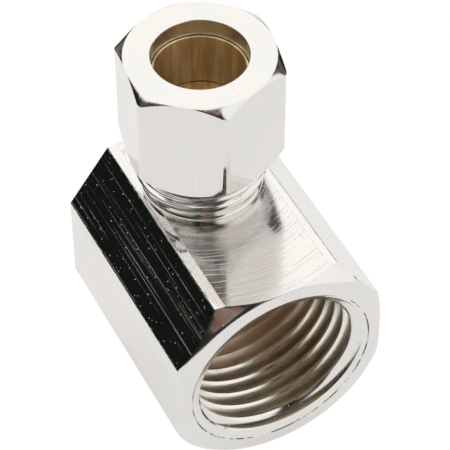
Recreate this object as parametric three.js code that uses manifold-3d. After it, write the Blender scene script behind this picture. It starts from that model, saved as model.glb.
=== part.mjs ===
// A chrome-plated angle adapter: a female pipe port on one side, and a compression branch for a
// 3/8 inch tube on top. It is made of three pieces: the angle body, the compression nut that
// screws on the body's threaded branch, and the ferrule that the nut presses round the tube.
//
// Sizes are in millimetres. +Z runs up the branch's axis, the pipe port faces -Y, and the origin
// is on the flat underside, straight below the branch.

import * as THREE from "three";
import { mergeVertices } from "three/addons/utils/BufferGeometryUtils.js";
import Module from "manifold-3d";

const wasm = await Module();
wasm.setup();

// ---- Driving dimensions -------------------------------------------------------------------

const INCH = 25.4;

// The bar that the body is cut from: a round bar with wrench flats and a narrower, flat top.
const PORT_AXIS_Z = 12.75; // the pipe port's axis above the underside
const BAR_RADIUS = 13.2; // the round belly
const BAR_FLATS = 24; // across the two upright wrench flats
const FLANK_FOOT = 5.5; // top edge of a wrench flat, above the port's axis
const LEDGE_HALF = 7.15; // outer edge of the narrow ledge at the top of a flank
const LEDGE_RISE = 12.1; // its height above the port's axis
const SHOULDER_HALF = 6.1; // half the width of the faced shoulder
const SHOULDER_RISE = 12.3; // its height above the port's axis
const BAR_FRONT = 18.9; // port face, in front of the branch's axis
const BAR_BACK = 8.7; // back face, behind it

// The turned edge round the port's face, as radius and distance behind the face.
const FACE_RADIUS = 12.0;
const EDGE = [
  [12.5, 0.22],
  [13.2, 0.85],
  [15.2, 2.6],
];

// Pipe port: 1/2-14 NPT, female. The thread narrows by 1 in 16 on its diameter.
const PIPE_PITCH = INCH / 14;
const PIPE_TAPER = 1 / 32; // on the radius
const PIPE_CREST_RADIUS = 9.25; // crests of the inside thread, at the face
const PIPE_THREAD_HEIGHT = 1.2;
const PIPE_THREAD_DEPTH = 13.4;
const PIPE_MOUTH_SHARE = 0.478; // half the groove's width at the crests, in pitches
const PIPE_ROOT_SHARE = 0.08; // and at its root
const PIPE_THREAD_START = -0.75 * PIPE_PITCH; // behind the face, level with the port's axis
const MOUTH_RADIUS = 10.67; // wide, shallow countersink at the face
const LIP_RADIUS = 9.72; // its inner edge
const LIP_DEPTH = 0.4;
const MOUTH_DEPTH = 1.2; // where the steeper lead-in reaches the crests
const CHAMBER_RADIUS = 8.75; // plain bore behind the thread
const CHAMBER_END = 2.8; // how far it reaches behind the branch's axis
const CHAMBER_TIP = 4.4; // end of its drilled point

// Branch thread: 9/16-24 UNEF, for a 3/8 inch tube.
const BRANCH_PITCH = INCH / 24;
const BRANCH_RADIUS = (INCH * 9) / 32;
const BRANCH_THREAD_HEIGHT = 0.62;
const BRANCH_CLEARANCE = 0.11; // between the two threads, on the radius
const THREAD_FOOT = 1.6; // start of the branch thread above the shoulder
const BRANCH_TOP = 11.2; // top of the branch above the shoulder
const BRANCH_FOOT_SHARE = 0.42; // half the ridge's width at its foot, in pitches
const BRANCH_CREST_SHARE = 0.09; // and at its crest
const NECK_RADIUS = 6.4;
const NECK_FILLET = 0.3;
const TUBE_BORE = 4.83; // socket and ferrule, for a 9.525 mm tube
const SEAT_RADIUS = 5.95; // the ferrule's seat at the top of the branch
const SEAT_FOOT_RADIUS = 5.2;
const SEAT_DEPTH = 1.75;
const SOCKET_DEPTH = 3.45; // the tube's stop, below the top of the branch
const PASSAGE_RADIUS = 3.6;

// Compression nut: 5/8 inch hexagon.
const NUT_SIDES = 6;
const NUT_FLATS = (INCH * 5) / 8;
const NUT_HEIGHT = 13.4;
const NUT_LIFT = 4.65; // its lower face above the shoulder
const NUT_TURN = -9.5; // degrees: a corner stands this far round from -Y
const NUT_FACE_RADIUS = 7.97; // edge of the flat top face
const NUT_FOOT_RADIUS = 7.5; // edge of the flat lower face
const NUT_TOP_DROP = 1.0; // how far the corners are turned down at the top
const NUT_FOOT_RISE = 1.9; // how far they are turned up at the foot
const NUT_BORE = 5.13; // hole for the tube in the end wall
const NUT_WALL = 1.96; // thickness of the end wall
const NUT_THREAD_LENGTH = 7.9;
const NUT_MOUTH_SHARE = 0.495; // half the groove's width at the crests, in pitches
const NUT_ROOT_SHARE = 0.2; // and at its root
const NUT_CHAMBER_RADIUS = 6.3; // room for the ferrule above the thread

// Ferrule: a barrel-shaped sleeve, 1/4 inch long.
const FERRULE_LENGTH = INCH / 4;
const FERRULE_RADIUS = 5.72;
const FERRULE_TIP_RADIUS = 5.06;
const FERRULE_TOP_TAPER = 0.75;
const FERRULE_LOWER_TAPER = 2.1;
const FERRULE_GAP = 0.1; // below the nut's end wall

// Steps round a full circle, and along the belly and the neck's fillet.
const ROUND_STEPS = 48;
const PIPE_STEPS = 32;
const BRANCH_STEPS = 24;
const BELLY_STEPS = 14;
const FILLET_STEPS = 5;

// ---- Places worked out from them ------------------------------------------------------------

const SHOULDER_Z = PORT_AXIS_Z + SHOULDER_RISE;
const THREAD_FOOT_Z = SHOULDER_Z + THREAD_FOOT;
const BRANCH_TOP_Z = SHOULDER_Z + BRANCH_TOP;
const SOCKET_Z = BRANCH_TOP_Z - SOCKET_DEPTH;
const NUT_FOOT_Z = SHOULDER_Z + NUT_LIFT;
const NUT_TOP_Z = NUT_FOOT_Z + NUT_HEIGHT;
const FERRULE_TOP_Z = NUT_TOP_Z - NUT_WALL - FERRULE_GAP;
const FERRULE_FOOT_Z = FERRULE_TOP_Z - FERRULE_LENGTH;
const NUT_CORNER_RADIUS = NUT_FLATS / Math.sqrt(3);

const OVERRUN = 1; // how far a cutting body reaches past the surface that it cuts
const MERGE_DISTANCE = 1e-4; // vertices nearer than this are one

// ---- Solids -----------------------------------------------------------------------------------

// A closed three.js geometry as a manifold-3d solid.
function solid(geometry) {
  const bare = geometry.clone();
  bare.deleteAttribute("normal");
  bare.deleteAttribute("uv");
  const merged = mergeVertices(bare, MERGE_DISTANCE);
  const mesh = new wasm.Mesh({
    numProp: 3,
    vertProperties: new Float32Array(merged.attributes.position.array),
    triVerts: new Uint32Array(merged.index.array),
  });
  return new wasm.Manifold(mesh);
}

// A manifold-3d solid as a named three.js mesh.
function meshOf(name, body, material) {
  const { numProp, vertProperties, triVerts } = body.getMesh();
  const geometry = new THREE.BufferGeometry();
  const count = vertProperties.length / numProp;
  const position = new Float32Array(count * 3);
  for (let i = 0; i < count; i += 1) {
    position.set(vertProperties.subarray(i * numProp, i * numProp + 3), i * 3);
  }
  geometry.setAttribute("position", new THREE.BufferAttribute(position, 3));
  geometry.setIndex(new THREE.BufferAttribute(triVerts, 1));
  geometry.computeVertexNormals();
  const mesh = new THREE.Mesh(geometry, material);
  mesh.name = name;
  return mesh;
}

// A solid turned about the branch's axis, from points of [radius, z] with z rising.
function turnedUpright(points, steps = ROUND_STEPS) {
  const profile = points.map(([radius, z]) => new THREE.Vector2(radius, z));
  const geometry = new THREE.LatheGeometry(profile, steps);
  geometry.rotateX(Math.PI / 2);
  return solid(geometry);
}

// A solid turned about the port's axis, from points of [radius, y] with y rising.
function turnedLevel(points, steps = ROUND_STEPS) {
  const profile = points.map(([radius, y]) => new THREE.Vector2(radius, y));
  const geometry = new THREE.LatheGeometry(profile, steps);
  geometry.translate(0, 0, PORT_AXIS_Z);
  return solid(geometry);
}

// The swept V of a right-hand thread about +Z, from z = 0 upwards. It is wide at the inner radius
// and narrow at the outer one, so it is the ridge of an outside thread, or the groove of an
// inside thread. Both radii change by taper for each millimetre of height.
function threadSweep({ pitch, turns, steps, inner, outer, innerHalf, outerHalf, taper = 0 }) {
  const count = Math.round(turns * steps);
  const corners = [
    [inner, -innerHalf],
    [outer, -outerHalf],
    [outer, outerHalf],
    [inner, innerHalf],
  ];
  const vertices = [];
  for (let i = 0; i <= count; i += 1) {
    const angle = (i / steps) * 2 * Math.PI;
    const rise = (i / steps) * pitch;
    for (const [radius, offset] of corners) {
      const r = radius + taper * rise;
      vertices.push(r * Math.cos(angle), r * Math.sin(angle), rise + offset);
    }
  }
  const index = [0, 1, 2, 0, 2, 3];
  for (let i = 0; i < count; i += 1) {
    for (let k = 0; k < 4; k += 1) {
      const a = i * 4 + k;
      const b = i * 4 + ((k + 1) % 4);
      index.push(a, a + 4, b + 4, a, b + 4, b);
    }
  }
  const last = count * 4;
  index.push(last, last + 2, last + 1, last, last + 3, last + 2);
  const geometry = new THREE.BufferGeometry();
  geometry.setAttribute("position", new THREE.Float32BufferAttribute(vertices, 3));
  geometry.setIndex(index);
  return geometry;
}

// ---- Angle body ---------------------------------------------------------------------------------

// The bar's section, seen along the port's axis: flats, flanks, ledges and the flat-bottomed belly.
function barSection() {
  const half = BAR_FLATS / 2;
  const bottomAngle = Math.acos(PORT_AXIS_Z / BAR_RADIUS);
  const flatAngle = Math.asin(half / BAR_RADIUS);
  const shape = new THREE.Shape();
  shape.moveTo(SHOULDER_HALF, SHOULDER_RISE);
  shape.lineTo(-SHOULDER_HALF, SHOULDER_RISE);
  shape.lineTo(-LEDGE_HALF, LEDGE_RISE);
  shape.lineTo(-half, FLANK_FOOT);
  for (const side of [-1, 1]) {
    for (let i = 0; i <= BELLY_STEPS; i += 1) {
      const share = side < 0 ? i / BELLY_STEPS : 1 - i / BELLY_STEPS;
      const angle = flatAngle + (bottomAngle - flatAngle) * share;
      shape.lineTo(side * BAR_RADIUS * Math.sin(angle), -BAR_RADIUS * Math.cos(angle));
    }
  }
  shape.lineTo(half, FLANK_FOOT);
  shape.lineTo(LEDGE_HALF, LEDGE_RISE);
  return shape;
}

function bar() {
  const geometry = new THREE.ExtrudeGeometry(barSection(), {
    depth: BAR_FRONT + BAR_BACK,
    bevelEnabled: false,
    steps: 1,
  });
  geometry.rotateX(Math.PI / 2);
  geometry.translate(0, BAR_BACK, PORT_AXIS_Z);
  const [farRadius, farDepth] = EDGE[EDGE.length - 1];
  const turnedEnd = turnedLevel([
    [0, -BAR_FRONT],
    [FACE_RADIUS, -BAR_FRONT],
    ...EDGE.map(([radius, depth]) => [radius, depth - BAR_FRONT]),
    [farRadius + OVERRUN, farDepth - BAR_FRONT + OVERRUN],
    [farRadius + OVERRUN, BAR_BACK + OVERRUN],
    [0, BAR_BACK + OVERRUN],
  ]);
  return solid(geometry).intersect(turnedEnd);
}

// The neck and the plain core of the branch thread, standing on the bar.
function branchCore() {
  const fillet = [];
  for (let i = 0; i <= FILLET_STEPS; i += 1) {
    const angle = (i / FILLET_STEPS) * (Math.PI / 2);
    const radius = NECK_RADIUS + NECK_FILLET * (1 - Math.sin(angle));
    const z = SHOULDER_Z + NECK_FILLET * (1 - Math.cos(angle));
    fillet.push([radius, z]);
  }
  const core = BRANCH_RADIUS - BRANCH_THREAD_HEIGHT;
  return turnedUpright([
    [0, PORT_AXIS_Z],
    [NECK_RADIUS + NECK_FILLET, PORT_AXIS_Z],
    ...fillet,
    [core, THREAD_FOOT_Z],
    [core, BRANCH_TOP_Z],
    [0, BRANCH_TOP_Z],
  ]);
}

// The ridge of the branch thread, with its two ends turned down to the core.
function branchThread() {
  const core = BRANCH_RADIUS - BRANCH_THREAD_HEIGHT;
  const length = BRANCH_TOP_Z - THREAD_FOOT_Z;
  const ridge = threadSweep({
    pitch: BRANCH_PITCH,
    turns: length / BRANCH_PITCH,
    steps: BRANCH_STEPS,
    inner: core - BRANCH_CLEARANCE,
    outer: BRANCH_RADIUS,
    innerHalf: BRANCH_PITCH * BRANCH_FOOT_SHARE,
    outerHalf: BRANCH_PITCH * BRANCH_CREST_SHARE,
  });
  ridge.translate(0, 0, THREAD_FOOT_Z);
  const reach = BRANCH_RADIUS + OVERRUN;
  const envelope = turnedUpright([
    [0, THREAD_FOOT_Z - BRANCH_PITCH / 2],
    [core, THREAD_FOOT_Z - BRANCH_PITCH / 2],
    [reach, THREAD_FOOT_Z + BRANCH_PITCH],
    [reach, BRANCH_TOP_Z - BRANCH_PITCH],
    [core - BRANCH_CLEARANCE, BRANCH_TOP_Z - BRANCH_CLEARANCE],
    [0, BRANCH_TOP_Z - BRANCH_CLEARANCE],
  ]);
  return solid(ridge).intersect(envelope);
}

// The port's bore, from its countersink to its drilled point.
function portBore() {
  const crestAt = (depth) => PIPE_CREST_RADIUS - PIPE_TAPER * depth;
  const cone = (MOUTH_RADIUS - LIP_RADIUS) / LIP_DEPTH;
  return turnedLevel(
    [
      [0, -BAR_FRONT - OVERRUN],
      [MOUTH_RADIUS + cone * OVERRUN, -BAR_FRONT - OVERRUN],
      [LIP_RADIUS, LIP_DEPTH - BAR_FRONT],
      [crestAt(MOUTH_DEPTH), MOUTH_DEPTH - BAR_FRONT],
      [crestAt(PIPE_THREAD_DEPTH), PIPE_THREAD_DEPTH - BAR_FRONT],
      [CHAMBER_RADIUS, PIPE_THREAD_DEPTH - BAR_FRONT + PIPE_PITCH / 2],
      [CHAMBER_RADIUS, CHAMBER_END],
      [PASSAGE_RADIUS, CHAMBER_TIP],
      [0, CHAMBER_TIP],
    ],
    PIPE_STEPS,
  );
}

// The groove of the pipe thread. It is swept upwards and then laid along +Y, into the port.
function portThread() {
  const startRadius = PIPE_CREST_RADIUS - PIPE_TAPER * PIPE_THREAD_START;
  const groove = threadSweep({
    pitch: PIPE_PITCH,
    turns: (PIPE_THREAD_DEPTH - PIPE_THREAD_START) / PIPE_PITCH,
    steps: PIPE_STEPS,
    inner: startRadius - PIPE_THREAD_HEIGHT / 2,
    outer: startRadius + PIPE_THREAD_HEIGHT,
    innerHalf: PIPE_PITCH * PIPE_MOUTH_SHARE,
    outerHalf: PIPE_PITCH * PIPE_ROOT_SHARE,
    taper: -PIPE_TAPER,
  });
  groove.rotateX(-Math.PI / 2);
  groove.translate(0, PIPE_THREAD_START - BAR_FRONT, PORT_AXIS_Z);
  return solid(groove);
}

// The way in from the top: ferrule seat, tube socket and the passage to the port.
function branchBore() {
  return turnedUpright([
    [0, PORT_AXIS_Z],
    [PASSAGE_RADIUS, PORT_AXIS_Z],
    [PASSAGE_RADIUS, SOCKET_Z],
    [TUBE_BORE, SOCKET_Z],
    [TUBE_BORE, BRANCH_TOP_Z - SEAT_DEPTH],
    [SEAT_FOOT_RADIUS, BRANCH_TOP_Z - SEAT_DEPTH],
    [SEAT_RADIUS, BRANCH_TOP_Z],
    [SEAT_RADIUS, BRANCH_TOP_Z + OVERRUN],
    [0, BRANCH_TOP_Z + OVERRUN],
  ]);
}

function angleBody() {
  const outside = bar().add(branchCore()).add(branchThread());
  return outside.subtract(portBore()).subtract(portThread()).subtract(branchBore());
}

// ---- Compression nut ------------------------------------------------------------------------------

function nutOutside() {
  const shape = new THREE.Shape();
  for (let i = 0; i < NUT_SIDES; i += 1) {
    const angle = THREE.MathUtils.degToRad(NUT_TURN - 90 + (i * 360) / NUT_SIDES);
    const x = NUT_CORNER_RADIUS * Math.cos(angle);
    const y = NUT_CORNER_RADIUS * Math.sin(angle);
    if (i === 0) shape.moveTo(x, y);
    else shape.lineTo(x, y);
  }
  const prism = new THREE.ExtrudeGeometry(shape, { depth: NUT_HEIGHT, bevelEnabled: false });
  prism.translate(0, 0, NUT_FOOT_Z);
  const turned = turnedUpright([
    [0, NUT_FOOT_Z],
    [NUT_FOOT_RADIUS, NUT_FOOT_Z],
    [NUT_CORNER_RADIUS, NUT_FOOT_Z + NUT_FOOT_RISE],
    [NUT_CORNER_RADIUS + OVERRUN, NUT_FOOT_Z + NUT_HEIGHT / 2],
    [NUT_CORNER_RADIUS, NUT_TOP_Z - NUT_TOP_DROP],
    [NUT_FACE_RADIUS, NUT_TOP_Z],
    [0, NUT_TOP_Z],
  ]);
  return solid(prism).intersect(turned);
}

function nutBore() {
  const crest = BRANCH_RADIUS - BRANCH_THREAD_HEIGHT + BRANCH_CLEARANCE;
  const wallZ = NUT_TOP_Z - NUT_WALL;
  const coneFoot = wallZ - (NUT_CHAMBER_RADIUS - NUT_BORE);
  return turnedUpright([
    [0, NUT_FOOT_Z - OVERRUN],
    [crest + BRANCH_THREAD_HEIGHT + OVERRUN, NUT_FOOT_Z - OVERRUN],
    [crest, NUT_FOOT_Z + BRANCH_THREAD_HEIGHT],
    [crest, NUT_FOOT_Z + NUT_THREAD_LENGTH + BRANCH_PITCH / 2],
    [NUT_CHAMBER_RADIUS, NUT_FOOT_Z + NUT_THREAD_LENGTH + BRANCH_PITCH],
    [NUT_CHAMBER_RADIUS, coneFoot],
    [NUT_BORE, wallZ],
    [NUT_BORE, NUT_TOP_Z + OVERRUN],
    [0, NUT_TOP_Z + OVERRUN],
  ]);
}

// The groove of the nut's thread. It starts at least a turn below the lower face, in step with the
// ridge on the branch.
function nutThread() {
  const turnsBelow = Math.floor((NUT_FOOT_Z - THREAD_FOOT_Z) / BRANCH_PITCH) - 1;
  const startZ = THREAD_FOOT_Z + turnsBelow * BRANCH_PITCH;
  const groove = threadSweep({
    pitch: BRANCH_PITCH,
    turns: (NUT_FOOT_Z + NUT_THREAD_LENGTH - startZ) / BRANCH_PITCH,
    steps: BRANCH_STEPS,
    inner: BRANCH_RADIUS - BRANCH_THREAD_HEIGHT - BRANCH_CLEARANCE,
    outer: BRANCH_RADIUS + BRANCH_CLEARANCE,
    innerHalf: BRANCH_PITCH * NUT_MOUTH_SHARE,
    outerHalf: BRANCH_PITCH * NUT_ROOT_SHARE,
  });
  groove.translate(0, 0, startZ);
  return solid(groove);
}

function compressionNut() {
  return nutOutside().subtract(nutBore()).subtract(nutThread());
}

// ---- Ferrule ---------------------------------------------------------------------------------------

function ferrule() {
  return turnedUpright([
    [TUBE_BORE, FERRULE_FOOT_Z],
    [FERRULE_TIP_RADIUS, FERRULE_FOOT_Z],
    [FERRULE_RADIUS, FERRULE_FOOT_Z + FERRULE_LOWER_TAPER],
    [FERRULE_RADIUS, FERRULE_TOP_Z - FERRULE_TOP_TAPER],
    [FERRULE_TIP_RADIUS, FERRULE_TOP_Z],
    [TUBE_BORE, FERRULE_TOP_Z],
    [TUBE_BORE, FERRULE_FOOT_Z],
  ]);
}

// ---- The assembly -----------------------------------------------------------------------------------

const CHROME = { color: 0xe6e3df, roughness: 0.12, metalness: 1 };
const BRASS = { color: 0xb8904f, roughness: 0.3, metalness: 1 };

const fitting = new THREE.Group();
fitting.add(meshOf("angle_body", angleBody(), new THREE.MeshStandardMaterial(CHROME)));
fitting.add(meshOf("compression_nut", compressionNut(), new THREE.MeshStandardMaterial(CHROME)));
fitting.add(meshOf("ferrule", ferrule(), new THREE.MeshStandardMaterial(BRASS)));

export default fitting;
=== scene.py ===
"""Visual model of a chrome-plated angle adapter: angle body, compression nut and ferrule.

Shapes are built in millimetres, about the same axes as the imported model, and scaled to metres at
the end. Each piece replaces the CAD node of the same name and rides on its body.
"""

import math

import bmesh
import bpy
from mathutils import Matrix, Vector


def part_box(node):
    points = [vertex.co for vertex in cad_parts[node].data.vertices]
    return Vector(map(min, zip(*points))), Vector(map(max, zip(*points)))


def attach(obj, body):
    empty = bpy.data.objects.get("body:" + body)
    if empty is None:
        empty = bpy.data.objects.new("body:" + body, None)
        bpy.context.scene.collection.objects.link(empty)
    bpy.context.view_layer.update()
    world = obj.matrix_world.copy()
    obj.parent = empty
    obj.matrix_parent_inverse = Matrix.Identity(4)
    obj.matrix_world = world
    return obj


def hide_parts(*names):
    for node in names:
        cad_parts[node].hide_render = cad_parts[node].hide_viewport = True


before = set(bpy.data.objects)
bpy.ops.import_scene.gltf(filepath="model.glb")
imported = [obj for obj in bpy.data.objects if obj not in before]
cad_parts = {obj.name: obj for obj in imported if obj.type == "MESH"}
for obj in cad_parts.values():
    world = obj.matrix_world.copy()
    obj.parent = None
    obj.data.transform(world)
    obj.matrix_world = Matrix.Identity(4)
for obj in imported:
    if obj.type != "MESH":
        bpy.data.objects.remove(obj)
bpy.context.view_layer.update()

MM = 0.001
INCH = 25.4
TAU = 2 * math.pi

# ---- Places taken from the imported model, in millimetres ------------------------------------------

BODY_LOW, BODY_HIGH = (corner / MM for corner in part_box("angle_body"))
NUT_LOW, NUT_HIGH = (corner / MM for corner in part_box("compression_nut"))
FERRULE_LOW, FERRULE_HIGH = (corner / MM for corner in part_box("ferrule"))

FRONT_Y = BODY_LOW.y
BACK_Y = BODY_HIGH.y
FLAT_X = BODY_HIGH.x
BRANCH_TOP_Z = BODY_HIGH.z
NUT_FOOT_Z = NUT_LOW.z
NUT_TOP_Z = NUT_HIGH.z
FERRULE_FOOT_Z = FERRULE_LOW.z
FERRULE_TOP_Z = FERRULE_HIGH.z

# ---- Shape of the bar, about the port's axis -----------------------------------------------------

PORT_Z = 12.75
BELLY_RADIUS = 13.2
FLANK_FOOT = 5.5
LEDGE_HALF = 7.15
LEDGE_RISE = 12.1
SHOULDER_HALF = 6.1
SHOULDER_RISE = 12.3
SHOULDER_Z = PORT_Z + SHOULDER_RISE
CORNER_ROUND = 0.2
EDGE_BEVEL = 0.05
BEVEL_ANGLE = math.radians(28)
SHARP_ANGLE = math.radians(24)

# Turned edge round the port's face: radius, and distance behind the face.
FACE_EDGE = (
    (12.0, 0.0),
    (12.2, 0.03),
    (12.5, 0.17),
    (12.8, 0.4),
    (13.2, 0.8),
    (13.8, 1.35),
    (15.2, 2.6),
)

# ---- Pipe port -----------------------------------------------------------------------------------

PIPE_PITCH = INCH / 14
PIPE_TAPER = 1 / 32
PIPE_CREST = 9.25
PIPE_HEIGHT = 1.15
PIPE_DEPTH = 13.4
PIPE_THREAD_START = -0.75 * PIPE_PITCH
MOUTH_RADIUS = 10.67
LIP_RADIUS = 9.72
LIP_DEPTH = 0.4
MOUTH_DEPTH = 1.2
CHAMBER_RADIUS = 8.75
CHAMBER_EASE = 0.3
CHAMBER_END = 2.8
CHAMBER_TIP = 4.4

# Share of a thread's pitch that is flat crest, and how far a tooth is rounded.
CREST_SHARE = 0.12
TOOTH_ROUNDING = 0.55

# ---- Branch --------------------------------------------------------------------------------------

BRANCH_PITCH = INCH / 24
BRANCH_RADIUS = INCH * 9 / 32
BRANCH_HEIGHT = 0.62
BRANCH_CORE = BRANCH_RADIUS - BRANCH_HEIGHT
BRANCH_GAP = 0.11
THREAD_FOOT_Z = SHOULDER_Z + 1.6
NECK_RADIUS = 6.4
NECK_FILLET = 0.3
NECK_SLOPE = 0.1
TUBE_BORE = 4.83
SEAT_RADIUS = 5.95
SEAT_FOOT_RADIUS = 5.2
SEAT_DEPTH = 1.75
SOCKET_DEPTH = 3.45
PASSAGE_RADIUS = 3.6

# ---- Compression nut -----------------------------------------------------------------------------

NUT_FLATS = INCH * 5 / 8
NUT_SIDES = 6
NUT_CORNER = NUT_FLATS / math.sqrt(3)
NUT_TURN = -9.5
NUT_EDGE_ROUND = 0.9
NUT_FACE_RADIUS = 7.97
NUT_FOOT_RADIUS = 7.5
NUT_TOP_DROP = 1.0
NUT_FOOT_RISE = 1.9
NUT_BORE = 5.13
NUT_WALL = 1.96
NUT_THREAD_LENGTH = 7.9
NUT_CHAMBER_RADIUS = 6.3
NUT_THREAD_TOP = NUT_FOOT_Z + NUT_THREAD_LENGTH
NUT_CREST = BRANCH_CORE + BRANCH_GAP
NUT_CORE_EASE = 0.2
NUT_CHAMBER_SLOPE = 0.3

# ---- Ferrule -------------------------------------------------------------------------------------

FERRULE_RADIUS = 5.72
FERRULE_TIP = 5.06
FERRULE_TOP_TAPER = 0.75
FERRULE_LOWER_TAPER = 2.1
FERRULE_ROUNDS = (0.06, 0.08, 0.4, 0.3, 0.08, 0.06)

# ---- Fineness ------------------------------------------------------------------------------------

ROUND_STEPS = 160
THREAD_STEPS = 120
ROWS_PER_PITCH = 14
ARC_STEPS = 5
FILLET_STEPS = 8
BELLY_STEPS = 40
BEVEL_STEPS = 2
OVERRUN = 1.0  # how far a cutting tool runs past the face it cuts
HAIR = 0.01  # keeps two surfaces of a cut from meeting exactly
TOUCH = 0.02  # how near a face counts as on a surface
LIP = 0.06  # width of the small chamfer on a bore's mouth

# ---- Colours and surface depths ------------------------------------------------------------------

CHROME_COOL = (0.765, 0.765, 0.745)
CHROME_WARM = (0.80, 0.770, 0.745)
DUST = (0.85, 0.84, 0.81)
SOIL = (0.10, 0.065, 0.035)
# The next three colours paint the port thread: a painted highlight on the crests, and wear with painted
# shade in the roots.
CREST_PLATING_HIGHLIGHT = (0.90, 0.86, 0.77)
ROOT_WEAR_SHADE_OLIVE = (0.44, 0.39, 0.29)
ROOT_WEAR_SHADE_BROWN = (0.43, 0.34, 0.24)
TAN = (0.92, 0.76, 0.61)
BRASS_DARK = (0.72, 0.52, 0.28)
# The lighter brass paints streaks that are uneven polish and a painted highlight.
BRASS_STREAK_HIGHLIGHT = (0.97, 0.80, 0.50)

# Depths of relief, in millimetres, and how rough and hazy each kind of wear is.
GRAIN_DEPTH = 0.0012
SCRATCH_DEPTH = 0.004
SCRATCH_ROUGHNESS = 0.40
SCRATCH_HAZE = 0.55
NICK_ROUGHNESS = 0.55
DULLING = 0.9
PIPE_THREAD_RELIEF = 0.014
BRASS_RELIEF = 0.006

# Patterns. A NOISE is its scale per millimetre, detail and roughness. An EDGE is where a mask
# starts and where it is full. A STRETCH is the scale on each axis.
FINE_NOISE = (3.0, 0.6)
CLOUD_NOISE = (0.16, 2.0)
CLOUD_EDGE = (0.35, 0.65)
GRAIN_NOISE = (7.0, 2.0)
HAIR_CLOSER = 2.3
HAIR_EDGE = (0.65, 0.73)
HAIR_BY_EDGE = 0.10
HAIR_BY_PATCH = 0.08
PATCHY_NOISE = (0.7, 2.0)
STRAY_SLANT = 0.35
STRAY_LENGTH = 0.12
STRAY_NOISE = (3.6, 1.0)
STRAY_EDGE = (0.74, 0.78)
CHIP_STRETCH = (1.0, 0.35, 1.0)
CHIP_NOISE = (3.2, 3.0, 0.7)
CHIP_EDGE = (0.52, 0.60)
SPECK_SCALE = 1.5
SPECK_UNEVEN = 0.22
SPECK_EDGE = (0.20, 0.25)
SPECK_CHOICE = (0.2, 0.7)
SOIL_LINE = (0.03, 0.11)
SOIL_NOISE = (0.55, 4.0, 0.7)
SOIL_EDGE = (0.42, 0.56)
SOIL_REACH = (1.0, 2.0)

# Port thread: painted highlight and painted shade with wear by depth in the thread, and brass by
# distance from the face.
THREAD_CLOUD_NOISE = (0.5, 3.0)
THREAD_CLOUD_SHIFT = 0.6
ROOT_EDGE = (0.35, 1.0)
DEEP_SHIFT = 6.0
DEEP_EDGE = (10.5, 14.5)
HUE_EDGE = (0.4, 0.6)
SPOT_NOISE = (1.7, 4.0, 0.7)
SPOT_EDGE = (0.66, 0.74)
SPOT_STRENGTH = 0.8
THREAD_FINENESS = 5.0
THREAD_GRAIN = 6.0

# Brass: lighter streaks drawn out along the bore, which are uneven polish and a painted highlight.
BRASS_FINENESS = 4.5
HIGHLIGHT_STREAK_STRETCH = (1.0, 1.0, 0.12)
HIGHLIGHT_STREAK_NOISE = (1.3, 2.0)

# Marks: how fast they change round a turned face, and how far they are drawn out along a drawn one.
MARK_ROUND = 0.25
DRAWN_STRETCH = 0.006
NUT_STRETCH = 0.012
EDGE_REACH = 0.4
BAR_EDGES = (
    (LEDGE_HALF, LEDGE_RISE),
    (SHOULDER_HALF, SHOULDER_RISE),
    (FLAT_X, FLANK_FOOT),
)
QUARTER_TURN = 0.25

# Places of the colour sockets on a Mix node.
COLOUR_MIX_INPUTS = (0, 6, 7)
COLOUR_MIX_OUTPUT = 2

# ---- Mesh building -------------------------------------------------------------------------------

def new_object(name, bm):
    """An object in the scene from bm, with its faces turned outward."""
    bmesh.ops.recalc_face_normals(bm, faces=bm.faces)
    mesh = bpy.data.meshes.new(name)
    bm.to_mesh(mesh)
    bm.free()
    obj = bpy.data.objects.new(name, mesh)
    bpy.context.scene.collection.objects.link(obj)
    return obj


def drop(obj):
    """Takes obj and its mesh out of the scene."""
    mesh = obj.data
    bpy.data.objects.remove(obj)
    bpy.data.meshes.remove(mesh)


def applied(obj):
    """obj with its modifiers applied to its mesh."""
    bpy.context.view_layer.update()
    depsgraph = bpy.context.evaluated_depsgraph_get()
    mesh = bpy.data.meshes.new_from_object(obj.evaluated_get(depsgraph))
    obj.modifiers.clear()
    old = obj.data
    obj.data = mesh
    bpy.data.meshes.remove(old)
    return obj


def boolean(target, tool, operation):
    """target after the operation with tool, which is used up."""
    modifier = target.modifiers.new(operation, "BOOLEAN")
    modifier.operation = operation
    modifier.solver = "EXACT"
    modifier.object = tool
    applied(target)
    drop(tool)
    return target


def eased(obj):
    """obj with its sharp edges taken off by a small bevel."""
    bevel = obj.modifiers.new("edges", "BEVEL")
    bevel.width = EDGE_BEVEL
    bevel.segments = BEVEL_STEPS
    bevel.limit_method = "ANGLE"
    bevel.angle_limit = BEVEL_ANGLE
    return applied(obj)


def rounded(points, radii):
    """A closed outline with each corner turned into an arc of the radius given for it."""
    outline = []
    count = len(points)
    for i, (point, radius) in enumerate(zip(points, radii)):
        here = Vector(point)
        before = (Vector(points[i - 1]) - here).normalized()
        after = (Vector(points[(i + 1) % count]) - here).normalized()
        if radius <= 0:
            outline.append(here)
            continue
        half = before.angle(after) / 2
        reach = radius / math.tan(half)
        centre = here + (before + after).normalized() * radius / math.sin(half)
        start = here + before * reach - centre
        end = here + after * reach - centre
        for step in range(ARC_STEPS + 1):
            outline.append(centre + start.slerp(end, step / ARC_STEPS) * radius)
    return outline


def prism(name, outline, low, high, place):
    """The outline drawn out from low to high. place turns (u, v, w) into a point."""
    bm = bmesh.new()
    lower = [bm.verts.new(place(u, v, low)) for u, v in outline]
    upper = [bm.verts.new(place(u, v, high)) for u, v in outline]
    bm.faces.new(lower)
    bm.faces.new(reversed(upper))
    for i in range(len(outline)):
        bm.faces.new((lower[i - 1], lower[i], upper[i], upper[i - 1]))
    return new_object(name, bm)


def round_points(radius, height, place, steps):
    """Points round a circle, or one point where the radius is zero."""
    if radius <= 0:
        return [place(0, 0, height)]
    angles = (TAU * i / steps for i in range(steps))
    return [place(radius * math.cos(angle), radius * math.sin(angle), height) for angle in angles]


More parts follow.
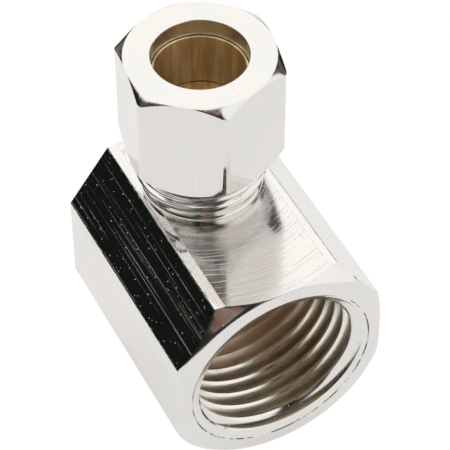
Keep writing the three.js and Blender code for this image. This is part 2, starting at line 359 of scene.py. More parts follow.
def turned(name, points, place, steps=ROUND_STEPS):
    """A solid of revolution from (radius, height) points.

    The outline starts and ends on the axis, or it closes on itself if it starts off the axis.
    """
    bm = bmesh.new()
    closed = points[0][0] > 0
    rings = []
    for radius, height in points:
        rings.append([bm.verts.new(point) for point in round_points(radius, height, place, steps)])
    pairs = list(zip(rings, rings[1:]))
    if closed:
        pairs.append((rings[-1], rings[0]))
    for ring, other in pairs:
        for i in range(steps):
            corners = [ring[i % len(ring)], ring[(i + 1) % len(ring)]]
            corners += [other[(i + 1) % len(other)], other[i % len(other)]]
            corners = list(dict.fromkeys(corners))
            if len(corners) > 2:
                bm.faces.new(corners)
    return new_object(name, bm)


def threaded(name, low, high, pitch, radius_at, place):
    """A closed column whose rows of faces follow a right-hand helix.

    radius_at(height, phase) gives the radius, where phase runs from 0 to 1 over each turn of thread.
    """
    bm = bmesh.new()

    def vertex(column, height, phase):
        angle = TAU * column / THREAD_STEPS
        radius = radius_at(height, phase)
        return bm.verts.new(place(radius * math.cos(angle), radius * math.sin(angle), height))

    rows = ROWS_PER_PITCH * (math.ceil((high - low) / pitch) + 2)
    margin = pitch / ROWS_PER_PITCH / 4
    columns = []
    bottoms = []
    tops = []
    for column in range(THREAD_STEPS):
        start = low + pitch * (column / THREAD_STEPS - 1)
        turn = column / THREAD_STEPS
        bottoms.append(vertex(column, low, (-turn) % 1))
        tops.append(vertex(column, high, ((high - low) / pitch - turn) % 1))
        cells = []
        for row in range(rows):
            height = start + pitch * row / ROWS_PER_PITCH
            if height < low + margin:
                cells.append(bottoms[-1])
            elif height > high - margin:
                cells.append(tops[-1])
            else:
                cells.append(vertex(column, height, (row / ROWS_PER_PITCH) % 1))
        columns.append(cells)
    for column in range(THREAD_STEPS):
        here = columns[column]
        beside = columns[(column + 1) % THREAD_STEPS]
        shift = ROWS_PER_PITCH if column == THREAD_STEPS - 1 else 0
        for row in range(rows - 1):
            near = min(row + shift, rows - 1)
            far = min(row + shift + 1, rows - 1)
            corners = list(dict.fromkeys((here[row], beside[near], beside[far], here[row + 1])))
            if len(corners) > 2:
                bm.faces.new(corners)
    bm.faces.new(bottoms)
    bm.faces.new(reversed(tops))
    return new_object(name, bm)


def upright(x, y, z):
    """Height runs up the branch's axis."""
    return (x, y, z)


def along_port(x, y, depth):
    """Depth runs from the port's face into the body, and the turn about the axis stays right-handed."""
    return (x, FRONT_Y + depth, PORT_Z - y)


def tooth(phase):
    """0 on the crest to 1 in the root of a thread, with both rounded."""
    slope = max(0.0, (1 - abs(2 * phase - 1) - CREST_SHARE) / (1 - CREST_SHARE))
    smooth = slope * slope * (3 - 2 * slope)
    return smooth * TOOTH_ROUNDING + slope * (1 - TOOTH_ROUNDING)


# ---- Angle body ----------------------------------------------------------------------------------

def bar_outline():
    """The bar's section: top, narrow ledges, sloping flanks, upright flats and a round belly."""
    right = [
        (SHOULDER_HALF, SHOULDER_Z),
        (LEDGE_HALF, PORT_Z + LEDGE_RISE),
        (FLAT_X, PORT_Z + FLANK_FOOT),
    ]
    flat_angle = math.asin(FLAT_X / BELLY_RADIUS)
    foot_angle = math.acos(PORT_Z / BELLY_RADIUS)
    for i in range(BELLY_STEPS + 1):
        angle = flat_angle + (foot_angle - flat_angle) * i / BELLY_STEPS
        right.append((BELLY_RADIUS * math.sin(angle), PORT_Z - BELLY_RADIUS * math.cos(angle)))
    radii = [CORNER_ROUND / 3, CORNER_ROUND, CORNER_ROUND, CORNER_ROUND] + [0] * BELLY_STEPS
    left = [(-x, z) for x, z in reversed(right)]
    return rounded(right + left, radii + radii[::-1])


def body_shell():
    """The bar with its turned front edge, before the branch and the bores."""
    shell = prism("angle_adapter_body", bar_outline(), FRONT_Y, BACK_Y, lambda u, v, w: (u, w, v))
    depth = BACK_Y - FRONT_Y + OVERRUN
    far = FACE_EDGE[-1][0]
    end = [(0, 0)] + list(FACE_EDGE) + [(far + OVERRUN, depth), (0, depth)]
    return eased(boolean(shell, turned("turned_end", end, along_port), "INTERSECT"))


def branch_neck():
    """The plain neck between the shoulder and the thread, with its fillet."""
    points = [(0, PORT_Z), (NECK_RADIUS + NECK_FILLET, PORT_Z)]
    for i in range(FILLET_STEPS + 1):
        angle = i / FILLET_STEPS * math.pi / 2
        radius = NECK_RADIUS + NECK_FILLET * (1 - math.sin(angle))
        points.append((radius, SHOULDER_Z + NECK_FILLET * (1 - math.cos(angle))))
    points += [
        (BRANCH_CORE, THREAD_FOOT_Z - NECK_SLOPE),
        (BRANCH_CORE, THREAD_FOOT_Z + OVERRUN),
        (0, THREAD_FOOT_Z + OVERRUN),
    ]
    return turned("neck", points, upright)


def branch_thread():
    """The branch's male thread, which runs out at both ends."""
    lead = BRANCH_PITCH

    def radius_at(height, phase):
        reach = min(1, (height - THREAD_FOOT_Z + lead / 2) / lead, (BRANCH_TOP_Z - height) / lead)
        ridge = BRANCH_HEIGHT * (1 - tooth((phase + 0.5) % 1))
        return BRANCH_CORE + min(ridge, BRANCH_HEIGHT * max(0, reach))

    return threaded("thread", THREAD_FOOT_Z - lead / 2, BRANCH_TOP_Z, lead, radius_at, upright)


def port_thread():
    """What the tapered pipe thread takes out of the port's wall."""

    def radius_at(depth, phase):
        crest = PIPE_CREST - PIPE_TAPER * depth
        fade = min(1, max(0, (PIPE_DEPTH + PIPE_PITCH - depth) / PIPE_PITCH))
        return crest + PIPE_HEIGHT * tooth(phase) * fade

    end = PIPE_DEPTH + PIPE_PITCH
    start = PIPE_THREAD_START - PIPE_PITCH / 2
    return threaded("pipe_thread", start, end, PIPE_PITCH, radius_at, along_port)


def port_bore():
    """What the plain tools take out of the port: countersink, lead-in, core and end chamber."""
    core = CHAMBER_RADIUS - CHAMBER_EASE
    points = [
        (0, -OVERRUN),
        (MOUTH_RADIUS + LIP + OVERRUN, -OVERRUN),
        (MOUTH_RADIUS + LIP, 0),
        (MOUTH_RADIUS, LIP / 2),
        (LIP_RADIUS, LIP_DEPTH),
        (PIPE_CREST - PIPE_TAPER * MOUTH_DEPTH, MOUTH_DEPTH),
        (core, MOUTH_DEPTH),
        (core, PIPE_DEPTH),
        (CHAMBER_RADIUS, PIPE_DEPTH + PIPE_PITCH / 2),
        (CHAMBER_RADIUS, CHAMBER_END - FRONT_Y),
        (PASSAGE_RADIUS, CHAMBER_TIP - FRONT_Y),
        (0, CHAMBER_TIP - FRONT_Y),
    ]
    return turned("port_bore", points, along_port)


def branch_bore():
    """The passage, the socket for the tube and the cone that the ferrule seats in."""
    socket_foot = BRANCH_TOP_Z - SOCKET_DEPTH
    seat_foot = BRANCH_TOP_Z - SEAT_DEPTH
    points = [
        (0, PORT_Z),
        (PASSAGE_RADIUS, PORT_Z),
        (PASSAGE_RADIUS, socket_foot),
        (TUBE_BORE, socket_foot),
        (TUBE_BORE, seat_foot),
        (SEAT_FOOT_RADIUS, seat_foot),
        (SEAT_RADIUS, BRANCH_TOP_Z),
        (SEAT_RADIUS, BRANCH_TOP_Z + OVERRUN),
        (0, BRANCH_TOP_Z + OVERRUN),
    ]
    return turned("branch_bore", points, upright)


def make_body():
    body = body_shell()
    boolean(body, branch_neck(), "UNION")
    boolean(body, branch_thread(), "UNION")
    boolean(body, port_bore(), "DIFFERENCE")
    boolean(body, port_thread(), "DIFFERENCE")
    boolean(body, branch_bore(), "DIFFERENCE")
    return body


# ---- Compression nut -----------------------------------------------------------------------------

def nut_outline():
    angles = (math.radians(NUT_TURN - 90) + TAU * i / NUT_SIDES for i in range(NUT_SIDES))
    points = [(NUT_CORNER * math.cos(angle), NUT_CORNER * math.sin(angle)) for angle in angles]
    return rounded(points, [NUT_EDGE_ROUND] * NUT_SIDES)


def nut_envelope():
    """The turned outside of the nut, which cuts its corners off at both ends."""
    middle = (NUT_FOOT_Z + NUT_TOP_Z) / 2
    points = [
        (0, NUT_FOOT_Z),
        (NUT_FOOT_RADIUS, NUT_FOOT_Z),
        (NUT_CORNER, NUT_FOOT_Z + NUT_FOOT_RISE),
        (NUT_CORNER + OVERRUN, middle),
        (NUT_CORNER, NUT_TOP_Z - NUT_TOP_DROP),
        (NUT_FACE_RADIUS, NUT_TOP_Z),
        (0, NUT_TOP_Z),
    ]
    return turned("nut_turned", points, upright)


def nut_bore():
    """What the plain tools take out of the nut: its mouth, core, chamber and tube hole."""
    core = NUT_CREST - NUT_CORE_EASE
    wall = NUT_TOP_Z - NUT_WALL
    points = [
        (0, NUT_FOOT_Z - OVERRUN),
        (NUT_CREST + BRANCH_HEIGHT + OVERRUN, NUT_FOOT_Z - OVERRUN),
        (core, NUT_FOOT_Z + BRANCH_HEIGHT + NUT_CORE_EASE),
        (core, NUT_THREAD_TOP),
        (NUT_CHAMBER_RADIUS, NUT_THREAD_TOP + NUT_CHAMBER_SLOPE),
        (NUT_CHAMBER_RADIUS, wall - NUT_CHAMBER_RADIUS + NUT_BORE),
        (NUT_BORE, wall),
        (NUT_BORE, NUT_TOP_Z - LIP),
        (NUT_BORE + LIP, NUT_TOP_Z),
        (NUT_BORE + LIP, NUT_TOP_Z + OVERRUN),
        (0, NUT_TOP_Z + OVERRUN),
    ]
    return turned("nut_bore", points, upright)


def nut_thread():
    """What the female thread takes out of the nut, in step with the branch's thread."""
    pitches_down = math.floor((NUT_FOOT_Z - THREAD_FOOT_Z) / BRANCH_PITCH - 0.5)
    start = THREAD_FOOT_Z + BRANCH_PITCH * pitches_down
    end = NUT_THREAD_TOP + BRANCH_PITCH

    def radius_at(height, phase):
        fade = min(1, max(0, (end - height) / BRANCH_PITCH))
        return NUT_CREST - HAIR + (BRANCH_HEIGHT + HAIR) * (1 - tooth((phase + 0.5) % 1)) * fade

    return threaded("nut_thread", start, end, BRANCH_PITCH, radius_at, upright)


def make_nut():
    nut = prism("compression_nut_fine", nut_outline(), NUT_FOOT_Z, NUT_TOP_Z, upright)
    eased(boolean(nut, nut_envelope(), "INTERSECT"))
    boolean(nut, nut_bore(), "DIFFERENCE")
    return boolean(nut, nut_thread(), "DIFFERENCE")


# ---- Ferrule -------------------------------------------------------------------------------------

def make_ferrule():
    foot, top = FERRULE_FOOT_Z, FERRULE_TOP_Z
    corners = [(TUBE_BORE, foot), (FERRULE_TIP, foot), (FERRULE_RADIUS, foot + FERRULE_LOWER_TAPER)]
    corners += [(FERRULE_RADIUS, top - FERRULE_TOP_TAPER), (FERRULE_TIP, top), (TUBE_BORE, top)]
    outline = rounded(corners, FERRULE_ROUNDS)
    return turned("ferrule_fine", [tuple(point) for point in outline], upright)


# ---- Materials -----------------------------------------------------------------------------------

def plug(tree, socket, value):
    """Links value to the socket where it is a socket itself, or sets it there."""
    if isinstance(value, bpy.types.NodeSocket):
        tree.links.new(value, socket)
    elif isinstance(value, tuple) and socket.type == "RGBA":
        socket.default_value = (*value, 1)
    else:
        socket.default_value = value


class Finish:
    """One material, with short calls for the nodes of its pattern. Places are in millimetres."""

    def __init__(self, name):
        self.material = bpy.data.materials.new(name)
        self.material.use_nodes = True
        self.tree = self.material.node_tree
        self.shader = self.tree.nodes["Principled BSDF"]
        where = self.tree.nodes.new("ShaderNodeTexCoord").outputs["Object"]
        self.place = self.vector("SCALE", where, Scale=1 / MM)
        parts = self.add("ShaderNodeSeparateXYZ", (self.place,))
        self.x, self.y, self.z = parts.outputs

    def add(self, kind, values=(), named=None, **settings):
        node = self.tree.nodes.new(kind)
        for key, value in settings.items():
            setattr(node, key, value)
        for key, value in [*enumerate(values), *(named or {}).items()]:
            plug(self.tree, node.inputs[key], value)
        return node

    def math(self, operation, *values):
        return self.add("ShaderNodeMath", values, operation=operation).outputs[0]

    def vector(self, operation, *values, **named):
        return self.add("ShaderNodeVectorMath", values, named, operation=operation).outputs[0]

    def joined(self, x, y, z):
        return self.add("ShaderNodeCombineXYZ", (x, y, z)).outputs[0]

    def step(self, value, start, end, low=0.0, high=1.0):
        """Runs smoothly from low to high as value goes from start to end."""
        named = {"Value": value, "From Min": start, "From Max": end, "To Min": low, "To Max": high}
        return self.add("ShaderNodeMapRange", (), named, interpolation_type="SMOOTHSTEP").outputs[0]

    def noise(self, place, scale, detail=2.0, roughness=0.5):
        named = {"Vector": place, "Scale": scale, "Detail": detail, "Roughness": roughness}
        return self.add("ShaderNodeTexNoise", (), named).outputs["Fac"]

    def mix(self, factor, first, second):
        """first where factor is 0, and second where it is 1."""
        node = self.add("ShaderNodeMix", data_type="RGBA")
        for place, value in zip(COLOUR_MIX_INPUTS, (factor, first, second)):
            plug(self.tree, node.inputs[place], value)
        return node.outputs[COLOUR_MIX_OUTPUT]

    def bump(self, height, depth, under=None):
        """Relief of the given depth, on top of the relief under it."""
        node = self.add("ShaderNodeBump", (), {"Height": height, "Distance": depth * MM})
        if under:
            plug(self.tree, node.inputs["Normal"], under)
        return node.outputs[0]

    def radius(self, first, second):
        """Distance from an axis, from the two distances across it."""
        squares = [self.math("MULTIPLY", side, side) for side in (first, second)]
        return self.math("SQRT", self.math("ADD", *squares))

    def groove(self, along):
        """Spreads the gloss across grooves that run the given way."""
        if along is None:
            return
        turn = {"vector_type": "VECTOR", "convert_from": "OBJECT", "convert_to": "WORLD"}
        world = self.add("ShaderNodeVectorTransform", (along,), **turn).outputs[0]
        self.put(Tangent=self.vector("NORMALIZE", world), Anisotropic_Rotation=QUARTER_TURN)

    def put(self, **sockets):
        """Sets the shader's sockets, with a low line for each space in a socket's name."""
        for key, value in sockets.items():
            plug(self.tree, self.shader.inputs[key.replace("_", " ")], value)


def turned_marks(f, run, first, second):
    """Marks at each run from an axis, which change slowly on the way round it."""
    radius = f.radius(first, second)
    way_round = f.math("DIVIDE", MARK_ROUND, radius)
    turn = f.vector("SCALE", f.joined(first, second, 0.0), Scale=way_round)
    parts = f.add("ShaderNodeSeparateXYZ", (turn,))
    return f.joined(f.math("ADD", radius, run), parts.outputs[0], parts.outputs[1])


def about_branch(f):
    """Marks that a lathe leaves about the branch's axis, and the way that they run."""
    return turned_marks(f, f.z, f.x, f.y), f.joined(f.math("MULTIPLY", f.y, -1.0), f.x, 0.0)


def about_port(f):
    """Marks that a lathe leaves about the port's axis, and the way that they run."""
    rise = f.math("SUBTRACT", f.z, PORT_Z)
    back = f.math("MULTIPLY", f.y, -1.0)
    return turned_marks(f, back, f.x, rise), f.joined(rise, 0.0, f.math("MULTIPLY", f.x, -1.0))


def along_bar(f):
    """Marks drawn along the bar."""
    return f.vector("MULTIPLY", f.place, (1.0, DRAWN_STRETCH, 1.0)), None


def down_nut(f):
    """Marks drawn down the nut's flats."""
    return f.vector("MULTIPLY", f.place, (1.0, 1.0, NUT_STRETCH)), None


def bar_edges(f):
    """A mask that is 1 on the long edges of the bar's upper half, and 0 from EDGE_REACH away."""
    side = f.math("ABSOLUTE", f.x)
    nearest = None
    for across, rise in BAR_EDGES:
        aside = f.math("SUBTRACT", side, across)
        distance = f.radius(aside, f.math("SUBTRACT", f.z, PORT_Z + rise))
        nearest = distance if nearest is None else f.math("MINIMUM", nearest, distance)
    return f.step(nearest, 0.0, EDGE_REACH, 1.0, 0.0)


def nowhere(f):
    """The mask of a finish without edges or soil of its own."""
    return 0.0


def mouth_soil(f):
    """A broken dark line round the countersink of the port."""
    radius = f.radius(f.x, f.math("SUBTRACT", f.z, PORT_Z))
    aside = f.math("ABSOLUTE", f.math("SUBTRACT", radius, MOUTH_RADIUS))
    line = f.step(aside, *SOIL_LINE, 1.0, 0.0)
    broken = f.step(f.noise(f.place, *SOIL_NOISE), *SOIL_EDGE)
    near, far = SOIL_REACH
    front = f.step(f.y, FRONT_Y + near, FRONT_Y + far, 1.0, 0.0)
    return f.math("MULTIPLY", f.math("MULTIPLY", line, broken), front)


def dust(f, grain):
    """A mask of sparse pale specks of uneven outline."""
    cells = f.add("ShaderNodeTexVoronoi", (), {"Vector": f.place, "Scale": SPECK_SCALE})
    reach = f.math("MULTIPLY_ADD", grain, SPECK_UNEVEN, cells.outputs["Distance"])
    spot = f.step(reach, *SPECK_EDGE, 1.0, 0.0)
    chosen = f.add("ShaderNodeSeparateXYZ", (cells.outputs["Color"],)).outputs[0]
    return f.math("MULTIPLY", spot, f.step(chosen, *SPECK_CHOICE))


def scratch_mask(f, way, lines, near_edge):
    """Hairlines along the tool's marks, closer near an edge and in patches, and a few astray."""
    patchy = f.math("MULTIPLY", f.noise(f.place, *PATCHY_NOISE), HAIR_BY_PATCH)
    crowding = f.math("MULTIPLY_ADD", near_edge, HAIR_BY_EDGE, patchy)
    hair = f.math("ADD", f.noise(way, lines * HAIR_CLOSER, 1.0), crowding)
    hair = f.step(hair, *HAIR_EDGE)
    slant = f.math("MULTIPLY_ADD", f.y, STRAY_SLANT, f.x)
    astray = f.joined(slant, f.math("MULTIPLY", f.y, STRAY_LENGTH), f.z)
    stray = f.step(f.noise(astray, *STRAY_NOISE), *STRAY_EDGE)
    return f.math("MAXIMUM", hair, stray)


def nick_mask(f, near_edge):
    """Small chips along the edges."""
    chips = f.noise(f.vector("MULTIPLY", f.place, CHIP_STRETCH), *CHIP_NOISE)
    return f.math("MULTIPLY", near_edge, f.step(chips, *CHIP_EDGE))


def plated(name, marks, roughness, relief, lines=2.6, anisotropy=0.0, scratches=0.5, dusty=1.0,
           edges=nowhere, soil=nowhere):
    """Bright plating over the marks of one tool, with clouds, scratches, nicks and dust.

    marks, edges and soil are functions that draw a pattern or a mask. lines is how close the
    tool's marks are, and scratches and dusty are how strong those two show.
    """
    f = Finish(name)
    way, along = marks(f)
    near_edge = edges(f)
    fine = f.noise(way, lines, *FINE_NOISE)
    cloud = f.noise(f.place, *CLOUD_NOISE)
    grain = f.noise(f.place, *GRAIN_NOISE)
    scratch = f.math("MULTIPLY", scratch_mask(f, way, lines, near_edge), scratches)
    nick = nick_mask(f, near_edge)
    specks = f.math("MULTIPLY", dust(f, grain), dusty)
    stain = soil(f)
    metal = f.mix(f.step(cloud, *CLOUD_EDGE), CHROME_COOL, CHROME_WARM)
    colour = f.mix(stain, f.mix(specks, metal, DUST), SOIL)
    rough = f.math("MULTIPLY_ADD", fine, roughness, roughness / 2)
    rough = f.math("MAXIMUM", rough, f.math("MULTIPLY", scratch, SCRATCH_ROUGHNESS))
    rough = f.math("MAXIMUM", rough, f.math("MULTIPLY", nick, NICK_ROUGHNESS))
    relief = f.bump(fine, relief, f.bump(grain, GRAIN_DEPTH))
    relief = f.bump(f.math("MAXIMUM", scratch, nick), SCRATCH_DEPTH, relief)
    haze = f.math("MULTIPLY", scratch, SCRATCH_HAZE)
    dull = f.math("MAXIMUM", f.math("MAXIMUM", specks, stain), haze)
    metallic = f.math("SUBTRACT", 1.0, f.math("MULTIPLY", dull, DULLING))
    f.put(Base_Color=colour, Roughness=rough, Normal=relief, Metallic=metallic)
    f.put(Anisotropic=anisotropy)
    f.groove(along)
    return f.material


def thread_metal(name):
    """Threads in the port: plating with a painted highlight on the crests, worn plating with painted
    shade in the roots, brass further in, and spots of soil.
    """
    f = Finish(name)
    rise = f.math("SUBTRACT", f.z, PORT_Z)
    radius = f.radius(f.x, rise)
    depth = f.math("SUBTRACT", f.y, FRONT_Y)
    crest = f.math("MULTIPLY_ADD", depth, -PIPE_TAPER, PIPE_CREST)
    below = f.math("SUBTRACT", radius, crest)
    cloud = f.noise(f.place, *THREAD_CLOUD_NOISE)
    way, along = about_port(f)
    fine = f.noise(way, THREAD_FINENESS, *FINE_NOISE)
    uneven = f.math("MULTIPLY_ADD", cloud, THREAD_CLOUD_SHIFT, -THREAD_CLOUD_SHIFT / 2)
    root = f.step(f.math("ADD", below, uneven), *ROOT_EDGE)
    deep = f.step(f.math("ADD", depth, f.math("MULTIPLY", cloud, DEEP_SHIFT)), *DEEP_EDGE)
    # Crests are ivory for plating with a painted highlight; roots are olive and brown for wear and
    # painted shade.
    ridge = f.mix(root, CREST_PLATING_HIGHLIGHT, f.mix(f.step(cloud, *HUE_EDGE), ROOT_WEAR_SHADE_OLIVE, ROOT_WEAR_SHADE_BROWN))
    spots = f.step(f.noise(f.place, *SPOT_NOISE), *SPOT_EDGE)
    colour = f.mix(f.math("MULTIPLY", spots, SPOT_STRENGTH), f.mix(deep, ridge, TAN), SOIL)
    f.put(Base_Color=colour, Metallic=1.0, Anisotropic=0.3)
    worn = f.math("MAXIMUM", root, f.math("MULTIPLY", deep, 2.0))
    f.put(Roughness=f.math("MULTIPLY_ADD", worn, 0.16, f.math("MULTIPLY_ADD", fine, 0.20, 0.14)))
    grain = f.bump(f.noise(f.place, THREAD_GRAIN), GRAIN_DEPTH)
    f.put(Normal=f.bump(fine, PIPE_THREAD_RELIEF, grain))
    f.groove(along)
    return f.material


def brass(name):
    """Bare turned brass, with lighter streaks along the bore that are uneven polish and a painted
    highlight.
    """
    f = Finish(name)
    way, along = about_branch(f)
    fine = f.noise(way, BRASS_FINENESS, *FINE_NOISE)
    highlight_streak = f.noise(f.vector("MULTIPLY", f.place, HIGHLIGHT_STREAK_STRETCH), *HIGHLIGHT_STREAK_NOISE)
    # The lighter streaks in the colour are partly uneven polish and partly painted highlight.
    f.put(Base_Color=f.mix(f.step(highlight_streak, *CLOUD_EDGE), BRASS_DARK, BRASS_STREAK_HIGHLIGHT), Metallic=1.0)
    f.put(Roughness=f.math("MULTIPLY_ADD", fine, 0.18, 0.30), Anisotropic=0.85)
    f.put(Normal=f.bump(fine, BRASS_RELIEF))
    f.groove(along)
    return f.material


# ---- Studio --------------------------------------------------------------------------------------

# Lights of the studio: direction, cosine where each starts, cosine where it is full, and colour.
# The plating mirrors them. The boxes are the bright ones, and the cards are dim, tinted things.
OVERHEAD_WHITE = (1.20, 1.182, 1.158)
FRONT_WHITE = (1.10, 1.083, 1.061)
WHITE_BOXES = (
    ((-0.05, 0.30, 0.95), 0.67, 0.75, OVERHEAD_WHITE),
    ((0.30, 0.55, 0.78), 0.80, 0.88, OVERHEAD_WHITE),
    ((0.72, -0.62, 0.33), 0.76, 0.83, FRONT_WHITE),
    ((0.30, -0.62, 0.72), 0.93, 0.97, FRONT_WHITE),
)
DIM_CARDS = (
    ((-0.60, -0.33, 0.73), 0.955, 0.985, (0.24, 0.25, 0.23)),
    ((-0.16, -0.56, 0.81), 0.990, 0.996, (0.32, 0.25, 0.22)),
    ((-0.33, -0.865, 0.37), 0.965, 0.985, (0.30, 0.24, 0.20)),
    ((-0.75, 0.00, 0.66), 0.90, 0.97, (0.07, 0.075, 0.065)),
    ((-0.17, 0.98, 0.05), 0.97, 0.99, (0.15, 0.145, 0.135)),
    ((0.96, 0.06, 0.27), 0.95, 0.98, (0.11, 0.11, 0.095)),
    ((0.0, -0.80, 0.60), 0.30, 0.90, (0.018, 0.018, 0.016)),
)
PATCH_COLOUR = (0.62, 0.36, 0.28)
PATCH_WHITE = (1.15, 1.15, 1.15)
PATCH_SCALE = 9.0
PATCH_DETAIL = 3.0
DARK = (0.008, 0.010, 0.008)
VECTOR_MIX_INPUTS = (0, 4, 5)
VECTOR_MIX_OUTPUT = 1

# The floor: its radius and how far it lies below the object in millimetres, and its light.
FLOOR_RADIUS = 160
FLOOR_DROP = 0.05
FLOOR_STEPS = 96
FLOOR_LIGHT = 0.90
FLOOR_SHADE = 0.82
FLOOR_MIDDLE = (FRONT_Y + BACK_Y) / 2


class StudioNodes:
    """Short calls for the nodes of the studio's world."""

    def __init__(self, world):
        world.use_nodes = True
        self.tree = world.node_tree
        self.tree.nodes.clear()
        self.way = self.add("ShaderNodeTexCoord").outputs["Generated"]

    def add(self, kind, inputs=None, **settings):
        node = self.tree.nodes.new(kind)
        for key, value in settings.items():
            setattr(node, key, value)
        for key, value in (inputs or {}).items():
            plug(self.tree, node.inputs[key], value)
        return node

    def vector(self, operation, *values):
        return self.add("ShaderNodeVectorMath", dict(enumerate(values)), operation=operation).outputs

    def step(self, value, start, end):
        """Runs smoothly from 0 to 1 as value goes from start to end."""
        inputs = {"Value": value, "From Min": start, "From Max": end}
        return self.add("ShaderNodeMapRange", inputs, interpolation_type="SMOOTHSTEP").outputs[0]

    def lights(self, table):
        """The brightest light of the table in each direction."""
        total = None
        for direction, start, full, colour in table:
            dot = self.vector("DOT_PRODUCT", self.way, Vector(direction).normalized())["Value"]
            inputs = {0: colour, "Scale": self.step(dot, start, full)}
            light = self.add("ShaderNodeVectorMath", inputs, operation="SCALE").outputs[0]
            total = light if total is None else self.vector("MAXIMUM", total, light)[0]
        return total

    def patches(self):
        """A cloudy tint, for what stands about in the dim part of the studio."""
        inputs = {"Vector": self.way, "Scale": PATCH_SCALE, "Detail": PATCH_DETAIL}
        noise = self.add("ShaderNodeTexNoise", inputs).outputs["Fac"]
        values = (self.step(noise, 0.42, 0.52), PATCH_COLOUR, PATCH_WHITE)
        mix = self.add("ShaderNodeMix", data_type="VECTOR")
        for place, value in zip(VECTOR_MIX_INPUTS, values):
            plug(self.tree, mix.inputs[place], value)
        return mix.outputs[VECTOR_MIX_OUTPUT]


def studio_world():
    """The lights by direction, and plain white where the camera sees past the floor."""
    world = bpy.data.worlds.new("studio")
    bpy.context.scene.world = world
    nodes = StudioNodes(world)
    dim = nodes.vector("MULTIPLY", nodes.lights(DIM_CARDS), nodes.patches())[0]
    lit = nodes.vector("MAXIMUM", nodes.lights(WHITE_BOXES), dim)[0]
    colour = nodes.vector("ADD", lit, DARK)[0]
    studio = nodes.add("ShaderNodeBackground", {"Color": colour})
    white = nodes.add("ShaderNodeBackground", {"Color": (1.0, 1.0, 1.0)})
    seen = nodes.add("ShaderNodeLightPath").outputs["Is Camera Ray"]
    inputs = {"Fac": seen, 1: studio.outputs[0], 2: white.outputs[0]}
    mix = nodes.add("ShaderNodeMixShader", inputs)
    nodes.add("ShaderNodeOutputWorld", {"Surface": mix.outputs[0]})


def floor_material():
    """Bright paper, a little darker under the object in reflections."""
    f = Finish("floor")
    across = f.math("DIVIDE", f.x, BELLY_RADIUS)
    length = f.math("DIVIDE", f.math("SUBTRACT", f.y, FLOOR_MIDDLE), BELLY_RADIUS)
    from_middle = f.radius(across, length)
    lit = f.step(from_middle, 0.7, 1.6, FLOOR_SHADE * FLOOR_LIGHT, FLOOR_LIGHT)
    seen = f.add("ShaderNodeLightPath").outputs["Is Camera Ray"]
    f.put(Base_Color=(0.05, 0.05, 0.05), Roughness=1.0, Specular_IOR_Level=0.0)
    f.put(Emission_Color=(1.0, 0.99, 0.98), Emission_Strength=f.math("MAXIMUM", seen, lit))
    return f.material


def studio_floor():
    bm = bmesh.new()
    bmesh.ops.create_circle(bm, cap_ends=True, segments=FLOOR_STEPS, radius=FLOOR_RADIUS * MM)
    floor = new_object("floor", bm)
    floor.location.z = -FLOOR_DROP * MM
    floor.data.materials.append(floor_material())


# ---- Camera --------------------------------------------------------------------------------------

# Angles in degrees, and distances in millimetres from a point at the port's axis.
CAMERA_AZIMUTH = -26.993
CAMERA_ELEVATION = 47.831
CAMERA_ROLL = -0.086
CAMERA_DISTANCE = 250.28
CAMERA_SIDE = 2.525
CAMERA_RISE = 2.944
CAMERA_LENS = 178.51
CAMERA_NEAR = 10


def make_camera():
    azimuth = math.radians(CAMERA_AZIMUTH)
    elevation = math.radians(CAMERA_ELEVATION)
    roll = math.radians(CAMERA_ROLL)
    level = math.cos(elevation)
    back = Vector((math.sin(azimuth) * level, -math.cos(azimuth) * level, math.sin(elevation)))
    side = Vector((math.cos(azimuth), math.sin(azimuth), 0))
    rise = back.cross(side)
    right = side * math.cos(roll) + rise * math.sin(roll)
    up = rise * math.cos(roll) - side * math.sin(roll)
    centre = Vector((0, 0, PORT_Z)) + right * CAMERA_SIDE + up * CAMERA_RISE
    place = centre + back * CAMERA_DISTANCE
    turn = Matrix((right, up, back)).transposed().to_4x4()
    data = bpy.data.cameras.new("camera")
    data.lens = CAMERA_LENS
    data.clip_start = CAMERA_NEAR * MM
    camera = bpy.data.objects.new("camera", data)
    camera.matrix_world = Matrix.Translation(place * MM) @ turn
    bpy.context.scene.collection.objects.link(camera)
    bpy.context.scene.camera = camera


# ---- Assembly ------------------------------------------------------------------------------------

# How far a face's normal leans, as a cosine, where one finish gives way to the next.
LEAST_SLOPE = 0.25
NUT_FACE_SLOPE = 0.9
SQUARE_ON = 0.99
CHAMBER_MARGIN = 1.0
CHAMBER_REACH = 0.1
NORMAL_WEIGHT = 80


def body_region(centre, normal):
    """The finish of one face of the angle body."""
    from_port = math.hypot(centre.x, centre.z - PORT_Z)
    from_branch = math.hypot(centre.x, centre.y)
    outward = centre.x * normal.x + centre.y * normal.y
    if centre.z > SHOULDER_Z - TOUCH:
        above = centre.z > SHOULDER_Z + TOUCH
        near_axis = from_branch < SEAT_RADIUS + TOUCH and outward <= TOUCH
        return "bore" if above and near_axis else "turned"
    if from_branch < TUBE_BORE and from_port < CHAMBER_RADIUS - CHAMBER_MARGIN:
        return "bore"
    near_front = centre.y < FRONT_Y + FACE_EDGE[-1][1] and from_port > PIPE_CREST
    end = near_front and normal.y < -LEAST_SLOPE
    if end or normal.y < -SQUARE_ON or centre.y > BACK_Y - TOUCH:
        return "faced"
    if from_port < MOUTH_RADIUS and centre.y < CHAMBER_TIP + CHAMBER_REACH:
        return "thread"
    return "drawn"


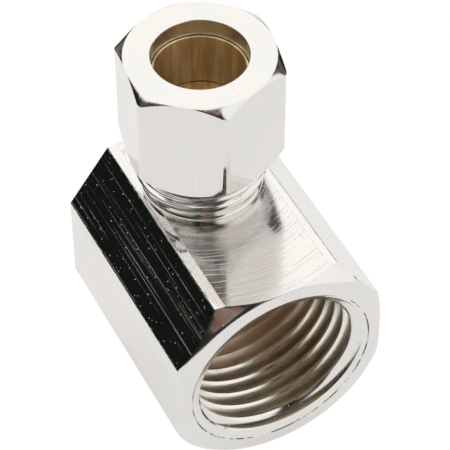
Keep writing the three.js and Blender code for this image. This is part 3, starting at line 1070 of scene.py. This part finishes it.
def nut_region(centre, normal):
    """The finish of one face of the compression nut."""
    from_axis = math.hypot(centre.x, centre.y)
    inside = NUT_CHAMBER_RADIUS + BRANCH_HEIGHT + BRANCH_GAP
    if from_axis < inside and abs(normal.z) < NUT_FACE_SLOPE:
        return "bore"
    return "turned" if abs(normal.z) > LEAST_SLOPE else "drawn"


def ferrule_region(centre, normal):
    """The one finish of the ferrule."""
    return "brass"


def finish_piece(obj, finishes, region, node, body):
    """Gives obj its finishes and its real size, and puts it in the place of a CAD node."""
    names = list(finishes)
    obj.data.materials.clear()
    for name in names:
        obj.data.materials.append(finishes[name])
    for face in obj.data.polygons:
        face.material_index = names.index(region(face.center, face.normal))
    obj.data.transform(Matrix.Scale(MM, 4))
    obj.data.shade_smooth()
    obj.data.set_sharp_from_angle(angle=SHARP_ANGLE)
    normals = obj.modifiers.new("normals", "WEIGHTED_NORMAL")
    normals.keep_sharp = True
    normals.weight = NORMAL_WEIGHT
    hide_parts(node)
    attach(obj, body)


make_camera()
studio_world()
studio_floor()
bpy.context.scene.view_settings.view_transform = "Standard"

BODY_FINISHES = {
    "drawn": plated("chrome_drawn_bar", along_bar, 0.045, 0.003, edges=bar_edges),
    "faced": plated("chrome_faced_end", about_port, 0.12, 0.006, anisotropy=0.5, scratches=0.3,
                    soil=mouth_soil),
    "turned": plated("chrome_turned_shoulder", about_branch, 0.13, 0.012, lines=3.2, anisotropy=0.6,
                     scratches=0.8),
    "thread": thread_metal("chrome_pipe_thread"),
    "bore": brass("brass_branch_bore"),
}
NUT_FINISHES = {
    "drawn": plated("chrome_nut_flats", down_nut, 0.06, 0.002, scratches=0.12, dusty=0.35),
    "turned": plated("chrome_nut_faces", about_branch, 0.10, 0.006, anisotropy=0.4, scratches=0.2,
                     dusty=0.5),
    "bore": plated("chrome_nut_bore", about_branch, 0.22, 0.008, anisotropy=0.8),
}
FERRULE_FINISHES = {"brass": brass("brass_ferrule")}

finish_piece(make_body(), BODY_FINISHES, body_region, "angle_body", "body")
finish_piece(make_nut(), NUT_FINISHES, nut_region, "compression_nut", "nut")
finish_piece(make_ferrule(), FERRULE_FINISHES, ferrule_region, "ferrule", "sleeve")
